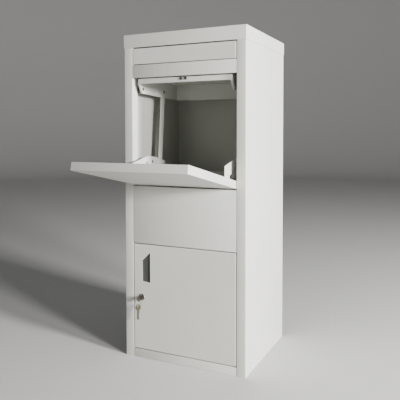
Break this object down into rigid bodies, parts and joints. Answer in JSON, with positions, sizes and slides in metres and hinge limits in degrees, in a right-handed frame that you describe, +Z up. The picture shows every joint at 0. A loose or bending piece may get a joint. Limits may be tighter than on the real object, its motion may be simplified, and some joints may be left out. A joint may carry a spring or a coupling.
{
  "type": "parcel drop box",
  "caption": "Free-standing steel parcel drop box with a tipping parcel hatch, linked anti-fishing hood, letter flap and locked collection door.",
  "frame": {"origin": "centre of the base's underside", "axes": "+Z up, the front with the hatch and doors faces -Y, +X to the right seen from the front"},
  "size_m": [0.404, 0.6642, 1],
  "materials": {
    "powder_coat": "fine-textured light warm grey powder coat, satin",
    "zinc_steel": "zinc-plated steel, satin",
    "chrome": "bright chrome plate",
    "key_metal": "nickel-plated key blank",
    "rubber": "matt black rubber",
    "black_plastic": "moulded black plastic",
    "pull_grey": "moulded grey plastic, fine matt"
  },
  "bodies": {
    "cabinet": {"left_side_panel": "powder_coat", "right_side_panel": "powder_coat", "base_pan": "powder_coat", "back_panel": "powder_coat", "top_cap": "powder_coat", "top_rail": "powder_coat", "cross_band": "powder_coat", "middle_panel": "powder_coat", "bottom_rail": "powder_coat", "door_stop_strip": "powder_coat", "hood_bracket_left": "zinc_steel", "hood_bracket_right": "zinc_steel", "hood_pin_left": "zinc_steel", "hood_pin_right": "zinc_steel", "hatch_pin_left": "zinc_steel", "hatch_pin_right": "zinc_steel", "hatch_stop_left": "zinc_steel", "hatch_stop_right": "zinc_steel", "door_pin_upper": "zinc_steel", "door_pin_lower": "zinc_steel", "flap_rod": "zinc_steel", "flap_spring": "zinc_steel", "door_buffer_upper": "rubber", "door_buffer_lower": "rubber", "hood_bush_left": "black_plastic", "hood_bush_right": "black_plastic"},
    "letter_flap": {"letter_flap": "powder_coat"},
    "hatch": {"hatch_door": "powder_coat", "shelf": "powder_coat", "hatch_arm_left": "powder_coat", "hatch_arm_right": "powder_coat", "arm_rivet_left_1": "zinc_steel", "arm_rivet_left_2": "zinc_steel", "arm_rivet_right_1": "zinc_steel", "arm_rivet_right_2": "zinc_steel"},
    "hood": {"hood": "powder_coat", "hood_button_left": "rubber", "hood_button_right": "rubber"},
    "left_link": {"left_link_bar": "powder_coat", "left_link_lower_rivet": "zinc_steel", "left_link_upper_rivet": "zinc_steel"},
    "right_link": {"right_link_bar": "powder_coat", "right_link_lower_rivet": "zinc_steel", "right_link_upper_rivet": "zinc_steel"},
    "collection_door": {"collection_door": "powder_coat", "door_pull": "pull_grey", "door_stiffener": "powder_coat", "lock_body": "chrome", "lock_nut": "zinc_steel"},
    "lock_plug": {"lock_plug": "chrome", "lock_cam": "zinc_steel", "cam_screw": "zinc_steel"},
    "key": {"key": "key_metal"},
    "key_ring": {"key_ring": "zinc_steel", "spare_key": "key_metal"}
  },
  "joints": [
    {"name": "hatch_hinge", "type": "hinge", "parent": "cabinet", "child": "hatch", "pos_m": [0, -0.172, 0.547], "axis": [-1, 0, 0], "range_deg": [0, 78.5]},
    {"name": "hood_tilt", "type": "hinge", "parent": "cabinet", "child": "hood", "pos_m": [0, -0.144, 0.836], "axis": [-1, 0, 0], "range_deg": [0, 78.5]},
    {"name": "left_link_pivot", "type": "hinge", "parent": "hatch", "child": "left_link", "pos_m": [-0.159, -0.038, 0.547], "axis": [-1, 0, 0], "range_deg": [-78.5, 0]},
    {"name": "right_link_pivot", "type": "hinge", "parent": "hatch", "child": "right_link", "pos_m": [0.159, -0.038, 0.547], "axis": [-1, 0, 0], "range_deg": [-78.5, 0]},
    {"name": "letter_flap_hinge", "type": "hinge", "parent": "cabinet", "child": "letter_flap", "pos_m": [0, -0.1745, 0.951], "axis": [1, 0, 0], "range_deg": [0, 70], "stiffness_Nm_per_rad": 0.04, "springref_deg": -34.38},
    {"name": "collection_door_hinge", "type": "hinge", "parent": "cabinet", "child": "collection_door", "pos_m": [0.1655, -0.176, 0.192], "axis": [0, 0, 1], "range_deg": [0, 105]},
    {"name": "lock_turn", "type": "hinge", "parent": "collection_door", "child": "lock_plug", "pos_m": [-0.143, -0.18, 0.19], "axis": [0, -1, 0], "range_deg": [0, 90]},
    {"name": "key_pull", "type": "slide", "parent": "lock_plug", "child": "key", "axis": [0, -1, 0], "range_m": [0, 0.024]},
    {"name": "key_ring_swing", "type": "hinge", "parent": "key", "child": "key_ring", "pos_m": [-0.143, -0.2012, 0.1883], "axis": [-1, 0, 0], "range_deg": [-15, 90]}
  ],
  "couplings": [
    {"joint": "hood_tilt", "follows": "hatch_hinge", "ratio": 1},
    {"joint": "left_link_pivot", "follows": "hatch_hinge", "ratio": -1},
    {"joint": "right_link_pivot", "follows": "hatch_hinge", "ratio": -1}
  ]
}
